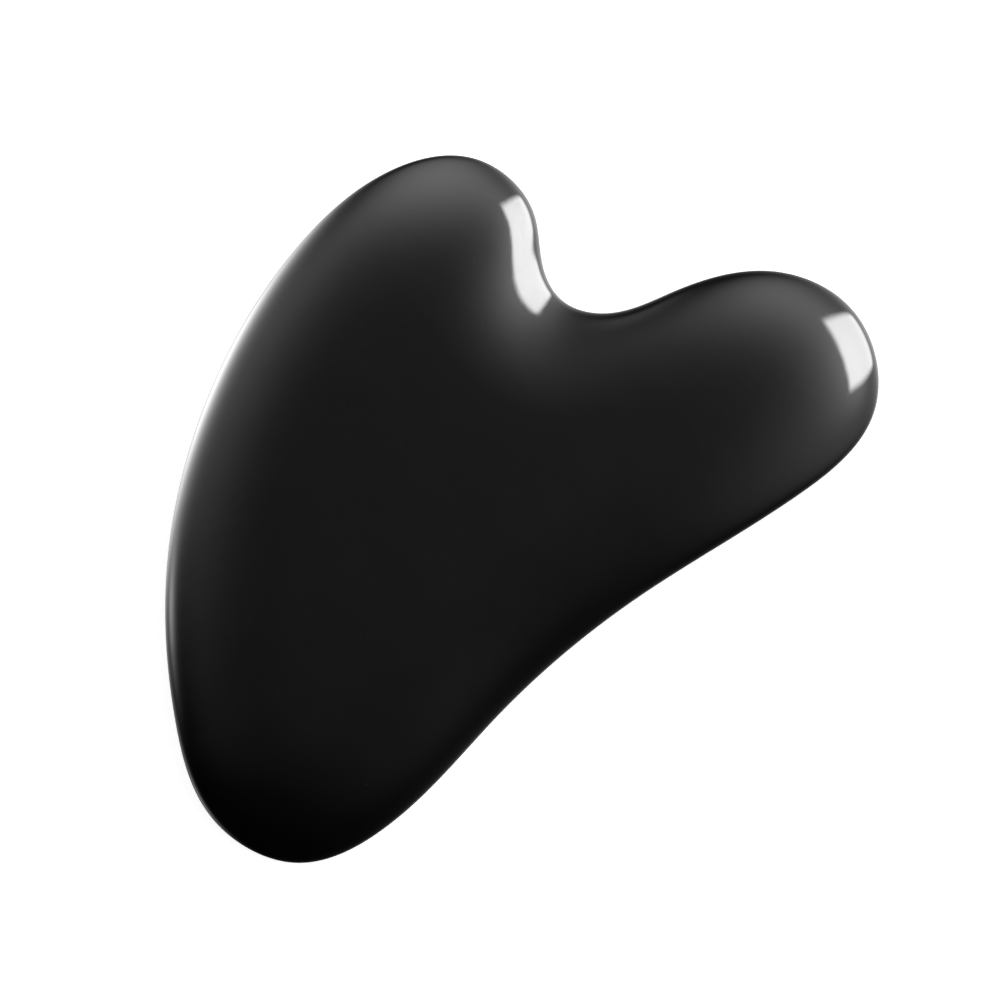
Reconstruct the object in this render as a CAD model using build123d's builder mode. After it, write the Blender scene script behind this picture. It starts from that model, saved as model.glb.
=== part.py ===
from build123d import *

import os

# A hand-held gua sha scraper: one board of polished black stone, shaped like a lopsided heart.
#
# It lies flat on the XY plane with its thickness along +Z. +X runs along its length, from the
# broad tail lobe to the slim heel lobe, and +Y runs across it, from the long pressing edge to
# the back and the crown lobe. The origin is under the middle of the board, on its back flat.

# Driving dimensions, in millimetres.
THICKNESS = 7.0  # from the back flat to the front flat
SHOULDER_WIDTH = 6.3  # how far the rounded shoulder reaches in from the rim, on each face
RIM_BAND = 0.2  # height of the upright band where the two shoulders meet
GRIND = 0.03  # depth ground off each face to leave a true flat

# The rim, which is the outline at mid-thickness, counter-clockwise, and the way it runs where
# it starts and closes.
RIM_START_DIRECTION = (1.0, -0.06)
RIM = [
    (6.0, -23.4),  # long pressing edge, slightly hollow
    (25.0, -25.2),
    (36.5, -23.2),  # heel lobe
    (40.9, -14.5),
    (37.5, -6.5),
    (28.0, -1.5),  # saddle between the heel lobe and the notch
    (21.2, 1.0),
    (18.6, 4.6),  # bottom of the notch
    (19.1, 8.4),
    (21.7, 13.2),  # crown lobe
    (20.6, 21.0),
    (12.5, 25.6),
    (1.5, 25.3),
    (-14.0, 19.6),  # long convex back
    (-29.0, 8.0),
    (-38.0, -5.0),
    (-40.9, -14.5),  # tail lobe
    (-37.0, -23.3),
    (-27.5, -26.0),
    (-12.0, -24.1),
]

# The shoulder is a quarter ellipse, wider than it is high. A blank with round shoulders, as
# thick as they are wide, becomes that when it is squashed along Z.
unground_thickness = THICKNESS + 2 * GRIND
squash = (unground_thickness - RIM_BAND) / (2 * SHOULDER_WIDTH)
blank_thickness = unground_thickness / squash

with BuildPart() as stone_board:
    with BuildSketch(Plane.XY.offset(-GRIND / squash)):
        with BuildLine():
            Spline(
                *RIM,
                RIM[0],
                tangents=[RIM_START_DIRECTION, RIM_START_DIRECTION],
                tangent_scalars=[1.0, 1.0],
            )
        make_face()
    extrude(amount=blank_thickness)
    fillet(stone_board.faces().filter_by(Axis.Z).edges(), radius=SHOULDER_WIDTH)
    scale(by=(1, 1, squash))
    split(bisect_by=Plane.XY, keep=Keep.TOP)
    split(bisect_by=Plane.XY.offset(THICKNESS), keep=Keep.BOTTOM)

os.makedirs("parts", exist_ok=True)
stone_board.part.label = "stone_board"
export_step(stone_board.part, "parts/stone_board.step")
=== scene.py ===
import math

import bmesh
import bpy
import numpy as np
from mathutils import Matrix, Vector
from mathutils.geometry import delaunay_2d_cdt

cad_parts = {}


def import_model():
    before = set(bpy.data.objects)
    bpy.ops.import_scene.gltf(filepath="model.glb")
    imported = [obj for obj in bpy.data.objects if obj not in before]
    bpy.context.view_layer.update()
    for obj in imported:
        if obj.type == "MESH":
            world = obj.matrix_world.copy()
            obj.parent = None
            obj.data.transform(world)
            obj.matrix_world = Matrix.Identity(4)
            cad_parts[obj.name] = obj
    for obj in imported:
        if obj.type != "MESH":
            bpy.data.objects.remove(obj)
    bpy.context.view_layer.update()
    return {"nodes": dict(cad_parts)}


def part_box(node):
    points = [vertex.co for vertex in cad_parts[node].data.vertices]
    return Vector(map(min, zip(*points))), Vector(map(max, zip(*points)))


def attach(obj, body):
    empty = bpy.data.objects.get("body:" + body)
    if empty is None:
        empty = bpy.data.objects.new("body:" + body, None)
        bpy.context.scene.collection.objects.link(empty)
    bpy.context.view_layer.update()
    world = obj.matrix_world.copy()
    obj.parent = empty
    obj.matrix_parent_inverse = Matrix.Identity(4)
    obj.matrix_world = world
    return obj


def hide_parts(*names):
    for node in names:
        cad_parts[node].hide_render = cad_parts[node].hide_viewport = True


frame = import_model()

# Everything is in metres, in the frame of the CAD model. The board lies flat on z = 0.
MM = 0.001
BOARD = "stone_board"
board_low, board_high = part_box(BOARD)
MIDDLE = (board_low.z + board_high.z) / 2  # mid-thickness, where the rim is

# The board's rounded section.
SHOULDER = 12.5 * MM  # how far in from the rim the face is still falling away
SHOULDER_POWER = 2.5  # 2 is an ellipse, and more fades more softly into the flat
RIM_POINTS = 480
RINGS = 34  # rings from the rim to the flat, on each face
SMOOTHING = 1.4 * MM  # length over which the inner rings round off the lobes
# Places where the shoulder was ground wider or narrower than elsewhere: the centre in the CAD
# frame and the reach in millimetres, and the share by which its width changes.
SHOULDER_TRIMS = {
    "crown, on the notch side": ((21.6, 12.5), 4.5, -0.22),
    "wall of the notch": ((18.2, 5.2), 4.0, 0.45),
    "foot of the notch": ((15.5, 4.0), 4.5, 0.25),
    "saddle": ((23.0, -0.2), 6.2, -0.25),
    "face inside the crown": ((13.0, 17.5), 8.0, 0.3),
}
MARCH_STEP = 0.1 * MM
RESPACING = 0.01  # share by which each step evens out the points of a ring
FLAT_GRID = 1.5 * MM  # spacing of the points inside the flat
FLAT_CLEARANCE = 0.6  # how near they come to the innermost ring, in spacings
SAME_POINT = 0.001 * MM  # points of the CAD mesh nearer than this are one point
CROWN = 0.05  # share of the thickness lost from the middle of the board to its furthest tip


def cad_rim():
    """The CAD board's rim, as points in order round the edge of its upright band."""
    mesh = bmesh.new()
    mesh.from_mesh(frame["nodes"][BOARD].data)
    bmesh.ops.remove_doubles(mesh, verts=mesh.verts, dist=SAME_POINT)
    band_top = min(vert.co.z for vert in mesh.verts if vert.co.z > MIDDLE)
    rim = {vert for vert in mesh.verts if abs(vert.co.z - band_top) < SAME_POINT}
    vert = min(rim, key=lambda candidate: candidate.co.x)
    ordered = []
    while vert is not None:
        ordered.append(vert.co.xy[:])
        rim.discard(vert)
        neighbours = [edge.other_vert(vert) for edge in vert.link_edges]
        vert = next((other for other in neighbours if other in rim), None)
    mesh.free()
    points = np.array(ordered)
    following = np.roll(points, -1, axis=0)
    area = np.sum(points[:, 0] * following[:, 1] - points[:, 1] * following[:, 0]) / 2
    return points if area > 0 else points[::-1]


def chords(loop):
    """Distance from each point of a closed loop to the next."""
    return np.linalg.norm(np.roll(loop, -1, axis=0) - loop, axis=1)


def closed_spline(loop, stations):
    """Points at the given lengths along a smooth closed curve through a loop."""
    count = len(loop)
    span = chords(loop)
    before = np.roll(span, 1)
    rise = (np.roll(loop, -1, axis=0) - loop) / span[:, None]
    system = np.zeros((count, count))
    row = np.arange(count)
    system[row, row - 1] = before
    system[row, row] = 2 * (before + span)
    system[row, (row + 1) % count] = span
    bend = np.linalg.solve(system, 6 * (rise - np.roll(rise, 1, axis=0)))
    ends = np.concatenate([[0], np.cumsum(span)])
    stations = np.mod(stations, ends[-1])
    piece = np.clip(np.searchsorted(ends, stations, side="right") - 1, 0, count - 1)
    after = (piece + 1) % count
    width = span[piece][:, None]
    left = (ends[piece + 1] - stations)[:, None]
    right = (stations - ends[piece])[:, None]
    curved = bend[piece] * left**3 + bend[after] * right**3
    straight = (loop[piece] / width - bend[piece] * width / 6) * left
    straight += (loop[after] / width - bend[after] * width / 6) * right
    return curved / (6 * width) + straight


def inward(loop):
    """Unit normals of a counter-clockwise loop, pointing inward."""
    along = np.roll(loop, -1, axis=0) - np.roll(loop, 1, axis=0)
    along /= np.linalg.norm(along, axis=1)[:, None]
    return np.stack([-along[:, 1], along[:, 0]], axis=1)


def step_inward(loop, step):
    """The loop moved inward by a step, with its tight bends rounded off a little."""
    pace = np.ones(len(loop))
    for centre, reach, share in SHOULDER_TRIMS.values():
        away = np.sum((loop - np.array(centre) * MM) ** 2, axis=1) / (reach * MM) ** 2
        pace += share * np.exp(-away)
    span = chords(loop)
    before = np.roll(span, 1)
    row = np.arange(len(loop))
    weight = 2 * SMOOTHING * step / (span + before)
    system = np.zeros((len(loop), len(loop)))
    system[row, row] = 1 + weight * (1 / span + 1 / before)
    system[row, row - 1] = -weight / before
    system[row, (row + 1) % len(loop)] = -weight / span
    moved = np.linalg.solve(system, loop + inward(loop) * (step * pace)[:, None])
    span = chords(moved)
    even = np.full(len(loop), span.mean())
    spacing = span * (1 - RESPACING) + even * RESPACING
    stations = np.concatenate([[0], np.cumsum(spacing)[:-1]])
    return closed_spline(moved, stations)


def shoulder_rings():
    """Rings from the rim in to the flat, each with its height above mid-thickness as a share."""
    rim = cad_rim()
    length = chords(rim).sum()
    loop = closed_spline(rim, np.linspace(0, length, RIM_POINTS, endpoint=False))
    rings = [(loop, 0.0)]
    depth = 0.0
    for index in range(1, RINGS + 1):
        angle = math.pi / 2 * index / RINGS
        wanted = SHOULDER * (1 - max(math.cos(angle), 0) ** (2 / SHOULDER_POWER))
        steps = max(1, round((wanted - depth) / MARCH_STEP))
        for _ in range(steps):
            loop = step_inward(loop, (wanted - depth) / steps)
        depth = wanted
        rings.append((loop, math.sin(angle)))
    return rings


def flat_fill(ring):
    """Points inside the innermost ring and the triangles that fill it."""
    low, high = ring.min(axis=0), ring.max(axis=0)
    across = np.arange(low[0], high[0], FLAT_GRID)
    up = np.arange(low[1], high[1], FLAT_GRID * math.sqrt(0.75))
    clearance = FLAT_GRID * FLAT_CLEARANCE
    grid = []
    for row, y in enumerate(up):
        for x in across + (row % 2) * FLAT_GRID / 2:
            if np.hypot(ring[:, 0] - x, ring[:, 1] - y).min() > clearance:
                grid.append((x, y))
    points = [Vector(point) for point in ring] + [Vector(point) for point in grid]
    loop_face = [list(range(len(ring)))]
    inside_only = 1
    weld = 1e-9
    placed, _, triangles, *_ = delaunay_2d_cdt(points, [], loop_face, inside_only, weld)
    return placed, triangles


def board_mesh():
    """The whole board: quads round both shoulders, and triangles in both flats."""
    half = (board_high.z - board_low.z) / 2
    centre = (board_low.xy + board_high.xy) / 2
    reach = (board_high.x - board_low.x) / 2
    rings = shoulder_rings()
    placed, triangles = flat_fill(rings[-1][0])

    def height(x, y, share):
        """Height above mid-thickness, for a share of the board's half thickness."""
        thinning = 1 - CROWN * (Vector((x, y)) - centre).length_squared / reach**2
        return half * share * thinning

    mesh = bmesh.new()
    rim_verts = [mesh.verts.new((x, y, MIDDLE)) for x, y in rings[0][0]]
    for side in (1, -1):
        outer = rim_verts
        for loop, share in rings[1:]:
            inner = [
                mesh.verts.new((x, y, MIDDLE + side * height(x, y, share))) for x, y in loop
            ]
            for index in range(RIM_POINTS):
                after = (index + 1) % RIM_POINTS
                quad = (outer[index], outer[after], inner[after], inner[index])
                mesh.faces.new(quad if side > 0 else quad[::-1])
            outer = inner
        flat = outer + [
            mesh.verts.new((point.x, point.y, MIDDLE + side * height(point.x, point.y, 1)))
            for point in placed[RIM_POINTS:]
        ]
        for triangle in triangles:
            corners = tuple(flat[index] for index in triangle)
            mesh.faces.new(corners if side > 0 else corners[::-1])
    for face in mesh.faces:
        face.smooth = True
    data = bpy.data.meshes.new("polished_stone_board")
    mesh.to_mesh(data)
    mesh.free()
    piece = bpy.data.objects.new("polished_stone_board", data)
    bpy.context.scene.collection.objects.link(piece)
    return piece


class Nodes:
    """A small helper that adds shader nodes to a tree and links them up."""

    def __init__(self, tree):
        self.tree = tree

    def put(self, socket, value):
        """Link an output to a socket, or set the socket to a number or vector."""
        if isinstance(value, bpy.types.NodeSocket):
            self.tree.links.new(value, socket)
        else:
            socket.default_value = value

    def add(self, kind, output, settings=None, **inputs):
        """Add a node and return one of its outputs. Inputs are named with _ for a space."""
        node = self.tree.nodes.new(kind)
        for name, value in (settings or {}).items():
            setattr(node, name, value)
        for name, value in inputs.items():
            self.put(node.inputs[name.replace("_", " ")], value)
        return node.outputs[output]

    def math(self, operation, *values):
        """Add a Math node and return its result."""
        node = self.tree.nodes.new("ShaderNodeMath")
        node.operation = operation
        for socket, value in zip(node.inputs, values):
            self.put(socket, value)
        return node.outputs["Value"]

    def dot(self, vector, axis):
        """How far a vector goes along an axis."""
        node = self.tree.nodes.new("ShaderNodeVectorMath")
        node.operation = "DOT_PRODUCT"
        self.put(node.inputs[0], vector)
        self.put(node.inputs[1], axis)
        return node.outputs["Value"]

    def noise(self, where, size, detail=2.0, rough=0.5):
        """Smooth noise from 0 to 1, with blotches of about the given size in metres."""
        return self.add(
            "ShaderNodeTexNoise", "Fac", Vector=where, Scale=1 / size, Detail=detail, Roughness=rough
        )

    def ramp(self, value, low, high, low_to, high_to):
        """The value mapped smoothly from one range to another, and held at its ends."""
        node = self.tree.nodes.new("ShaderNodeMapRange")
        node.interpolation_type = "SMOOTHSTEP"
        numbers = (value, low, high, low_to, high_to)
        names = ("Value", "From Min", "From Max", "To Min", "To Max")
        for name, number in zip(names, numbers):
            self.put(node.inputs[name], number)
        return node.outputs["Result"]

    def mix(self, factor, first, second):
        """One colour turning into another as the factor goes from 0 to 1."""
        node = self.tree.nodes.new("ShaderNodeMix")
        node.data_type = "RGBA"
        self.put(node.inputs["Factor"], factor)
        for name, colour in (("A", first), ("B", second)):
            socket = next(s for s in node.inputs if s.name == name and s.type == "RGBA")
            self.put(socket, colour)
        return next(s for s in node.outputs if s.type == "RGBA")

    def bump(self, height, depth, normal=None):
        """A surface normal pushed about by a height from 0 to 1 over a depth in metres."""
        node = self.tree.nodes.new("ShaderNodeBump")
        node.inputs["Distance"].default_value = depth
        self.put(node.inputs["Height"], height)
        if normal is not None:
            self.put(node.inputs["Normal"], normal)
        return node.outputs["Normal"]


# The stone's own colour, and the sizes of what can be seen in it and on it.
STONE = (0.0003, 0.0003, 0.00031, 1)
STONE_CLOUD = (0.0009, 0.00088, 0.00085, 1)
STONE_FLECK = (0.004, 0.0039, 0.0037, 1)
CLOUD_SIZE = 9.0 * MM
FLECK_SIZE = 0.7 * MM
SMEAR_SIZE = 6.0 * MM
GRAIN_SIZE = 0.18 * MM
WAVE_SIZE = 11.0 * MM
WAVE_DEPTH = 0.05 * MM
RIPPLE_SIZE = 2.2 * MM
RIPPLE_DEPTH = 0.006 * MM
GRAIN_DEPTH = 0.0006 * MM
# Where the noise starts to show as a cloud, a patch of flecks or a smear, and where it shows
# in full. The noise runs from 0 to 1.
CLOUD_SPAN = (0.45, 0.75)
FLECK_SPAN = (0.66, 0.72)
SMEAR_SPAN = (0.4, 0.8)
FLECK_EDGE = (0.12, 0.2)  # where a fleck starts to fade and has gone, as shares of FLECK_SIZE
FLECK_PATCH = 2.3 * FLECK_SIZE
POLISH = (0.03, 0.07)  # roughness of the clean polish and of a smear
GRAIN_ROUGHNESS = 0.02
STONE_IOR = 1.5


def polished_black_stone():
    """Near-black stone with faint clouds and flecks, under a hand polish that isn't quite even."""
    material = bpy.data.materials.new("polished_black_stone")
    material.use_nodes = True
    add = Nodes(material.node_tree)
    shader = material.node_tree.nodes["Principled BSDF"]
    where = add.add("ShaderNodeTexCoord", "Object")

    clouds = add.ramp(add.noise(where, CLOUD_SIZE, 5.0, 0.62), *CLOUD_SPAN, 0.0, 1.0)
    cells = {"feature": "F1"}
    fleck_cell = add.add(
        "ShaderNodeTexVoronoi", "Distance", cells, Vector=where, Scale=1 / FLECK_SIZE
    )
    fleck_here = add.ramp(add.noise(where, FLECK_PATCH, 1.0), *FLECK_SPAN, 0.0, 1.0)
    flecks = add.math("MULTIPLY", add.ramp(fleck_cell, *FLECK_EDGE, 1.0, 0.0), fleck_here)
    clouded = add.mix(clouds, STONE, STONE_CLOUD)
    add.put(shader.inputs["Base Color"], add.mix(flecks, clouded, STONE_FLECK))

    smears = add.ramp(add.noise(where, SMEAR_SIZE, 4.0, 0.6), *SMEAR_SPAN, *POLISH)
    grain = add.noise(where, GRAIN_SIZE, 2.0)
    roughness = add.math("MULTIPLY_ADD", grain, GRAIN_ROUGHNESS, smears)
    add.put(shader.inputs["Roughness"], roughness)
    shader.inputs["IOR"].default_value = STONE_IOR

    waves = add.bump(add.noise(where, WAVE_SIZE, 1.0), WAVE_DEPTH)
    ripples = add.bump(add.noise(where, RIPPLE_SIZE, 1.0), RIPPLE_DEPTH, waves)
    add.put(shader.inputs["Normal"], add.bump(grain, GRAIN_DEPTH, ripples))
    return material


FLOOR_SIZE = 6.0
FLOOR_COLOUR = (0.9, 0.9, 0.9, 1)
FLOOR_ROUGHNESS = 0.9
FLOOR_GLOW = 0.7  # lifts the floor to the even white of a lit studio sweep


def floor_piece():
    """A plain pale floor right under the board, which the board doesn't mirror."""
    bpy.ops.mesh.primitive_plane_add(size=FLOOR_SIZE, location=(0, 0, 0))
    floor = bpy.context.object
    floor.name = "floor"
    material = bpy.data.materials.new("pale_floor")
    material.use_nodes = True
    shader = material.node_tree.nodes["Principled BSDF"]
    shader.inputs["Base Color"].default_value = FLOOR_COLOUR
    shader.inputs["Roughness"].default_value = FLOOR_ROUGHNESS
    shader.inputs["Specular IOR Level"].default_value = 0.0
    shader.inputs["Emission Color"].default_value = (1, 1, 1, 1)
    shader.inputs["Emission Strength"].default_value = FLOOR_GLOW
    floor.data.materials.append(material)
    floor.visible_glossy = False


# The camera looks straight down on the front flat, and the board's length climbs to the right.
CAMERA_DISTANCE = 0.8
CAMERA_ROLL = math.radians(-38.0)
VIEW_WIDTH = 100.1 * MM
VIEW_CENTRE = Vector((1.4 * MM, -7.3 * MM, MIDDLE))
SENSOR_WIDTH = 36.0
CLIP_START = 0.01


def camera():
    """The camera over the board, with a lens that frames VIEW_WIDTH at mid-thickness."""
    data = bpy.data.cameras.new("camera")
    data.sensor_width = SENSOR_WIDTH
    data.lens = data.sensor_width * CAMERA_DISTANCE / VIEW_WIDTH
    data.clip_start = CLIP_START
    view = bpy.data.objects.new("camera", data)
    view.location = VIEW_CENTRE + Vector((0, 0, CAMERA_DISTANCE))
    view.rotation_euler = (0, 0, CAMERA_ROLL)
    bpy.context.scene.collection.objects.link(view)
    bpy.context.scene.camera = view


# Directions in the studio are given as seen in the camera's picture: azimuth 0 is to its right
# and 90 is to its top, and elevation is above the floor.
def studio_direction(azimuth, elevation):
    """A unit vector in the CAD frame that points that way."""
    turned = math.radians(azimuth) + CAMERA_ROLL
    level = math.cos(math.radians(elevation))
    height = math.sin(math.radians(elevation))
    return Vector((level * math.cos(turned), level * math.sin(turned), height))


def glowing(name, shape):
    """A see-through material that glows as strongly as shape(add, where) says."""
    material = bpy.data.materials.new(name)
    material.use_nodes = True
    add = Nodes(material.node_tree)
    strength = shape(add, add.add("ShaderNodeTexCoord", "Object"))
    emitted = add.add("ShaderNodeEmission", "Emission", Strength=strength)
    clear = add.add("ShaderNodeBsdfTransparent", "BSDF")
    both = material.node_tree.nodes.new("ShaderNodeAddShader")
    add.put(both.inputs[0], emitted)
    add.put(both.inputs[1], clear)
    add.put(material.node_tree.nodes["Material Output"].inputs["Surface"], both.outputs["Shader"])
    return material


def only_in_reflections(light):
    """Stage a light that the camera doesn't see and that casts no light on matt surfaces."""
    light.visible_camera = False
    light.visible_diffuse = False
    light.visible_shadow = False


def softbox(name, corners, softness, radiance):
    """A flat light about a metre away, seen only in the board's reflections.

    Its corners are azimuths and elevations. Each edge fades over its own softness, in metres.
    """
    data = bpy.data.meshes.new(name)
    spots = [studio_direction(azimuth, elevation) for azimuth, elevation in corners]
    facing = sum(spots, Vector()).normalized()
    spots = [spot / spot.dot(facing) for spot in spots]
    data.from_pydata(spots, [], [tuple(range(len(spots)))])
    light = bpy.data.objects.new(name, data)
    bpy.context.scene.collection.objects.link(light)

    def shape(add, where):
        strength = radiance
        for start, end, soft in zip(spots, spots[1:] + spots[:1], softness):
            inside = end.cross(start).normalized()
            from_edge = add.dot(where, inside)
            strength = add.math("MULTIPLY", add.ramp(from_edge, 0.0, soft, 0.0, 1.0), strength)
        return strength

    data.materials.append(glowing(name, shape))
    only_in_reflections(light)


def bounce_card(name, anchor, azimuth, elevation, distance, reach, radiance):
    """A small soft-edged card close to a spot on the board, seen only in its reflections."""
    facing = studio_direction(azimuth, elevation)
    bpy.ops.mesh.primitive_plane_add(
        size=CARD_SPAN * reach,
        location=anchor + facing * distance,
        rotation=(-facing).to_track_quat("-Z", "Y").to_euler(),
    )
    card = bpy.context.object
    card.name = name

    def shape(add, where):
        away = add.math("MULTIPLY", add.dot(where, where), -1 / reach**2)
        return add.math("MULTIPLY", add.math("EXPONENT", away), radiance)

    card.data.materials.append(glowing(name, shape))
    only_in_reflections(card)


# The soft light around the board, as seen from it. Each glow has an azimuth, an elevation, a
# spread up and down and a spread across, all in degrees, and a brightness.
DIM = 0.004
PALE = 1.0
GLOWS = {
    "fill from the far right corner": (25, -20, 32, 24, 3.5),
    "spill round the softbox": (10, 48, 13, 13, 2.5),
    "halo above the softbox": (40, 52, 17, 17, 1.3),
    "top left": (140, 52, 15, 15, 0.9),
    "low on the left": (155, -15, 23, 11, 15.0),
    "level with the left": (180, 5, 9, 4, 4.0),
    "under the tail": (210, -30, 11, 9, 1.5),
}


def world():
    """A dim studio with soft glows, which the camera itself sees as plain and pale."""
    studio = bpy.data.worlds.new("studio")
    studio.use_nodes = True
    add = Nodes(studio.node_tree)
    direction = add.add("ShaderNodeTexCoord", "Generated")
    light = DIM
    for azimuth, elevation, tall, wide, brightness in GLOWS.values():
        tightness = 1 / math.radians(tall) ** 2
        narrowing = (1 / math.radians(wide) ** 2 - tightness) / 2
        facing = add.dot(direction, studio_direction(azimuth, elevation))
        aside = add.dot(direction, studio_direction(azimuth + 90, 0))
        squeeze = add.math("MULTIPLY", add.math("MULTIPLY", aside, aside), -narrowing)
        falloff = add.math("MULTIPLY_ADD", facing, tightness, -tightness)
        falloff = add.math("EXPONENT", add.math("ADD", falloff, squeeze))
        light = add.math("MULTIPLY_ADD", falloff, brightness, light)
    seen = add.add("ShaderNodeLightPath", "Is Camera Ray")
    unseen = add.math("MULTIPLY", light, add.math("SUBTRACT", 1.0, seen))
    background = studio.node_tree.nodes["Background"]
    background.inputs["Color"].default_value = (1, 1, 1, 1)
    add.put(background.inputs["Strength"], add.math("MULTIPLY_ADD", seen, PALE, unseen))
    bpy.context.scene.world = studio


# The softbox: its corners as azimuth and elevation, and the softness of each edge in turn.
SOFTBOX_CORNERS = [(-10, 53), (50, 53), (40, -10), (10, -10)]
SOFTBOX_SOFTNESS = (0.1, 0.1, 0.35, 0.1)
SOFTBOX_RADIANCE = 17.0

# Small cards close to the board: the spot beside each one, as x and y in the CAD frame, its
# azimuth and elevation from there, its distance and reach, and its radiance at the middle.
# The spots, distances and reaches are in millimetres.
CARDS = {
    "card_by_crown": ((16, 21), 95, 40, 14, 12, 2.8),
    "card_over_heel": ((34, -6), 70, 45, 18, 12, 1.9),
    "card_by_heel": ((32, -23), -20, 40, 26, 24, 0.9),
}
CARD_SPAN = 6  # side of a card in reaches, enough for its glow to fade out

piece = board_mesh()
piece.data.materials.append(polished_black_stone())
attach(piece, "root")
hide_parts(BOARD)
floor_piece()
camera()
world()
softbox("softbox_right", SOFTBOX_CORNERS, SOFTBOX_SOFTNESS, SOFTBOX_RADIANCE)
for name, ((x, y), azimuth, elevation, distance, reach, radiance) in CARDS.items():
    spot = Vector((x * MM, y * MM, MIDDLE))
    bounce_card(name, spot, azimuth, elevation, distance * MM, reach * MM, radiance)
bpy.context.scene.view_settings.view_transform = "Standard"
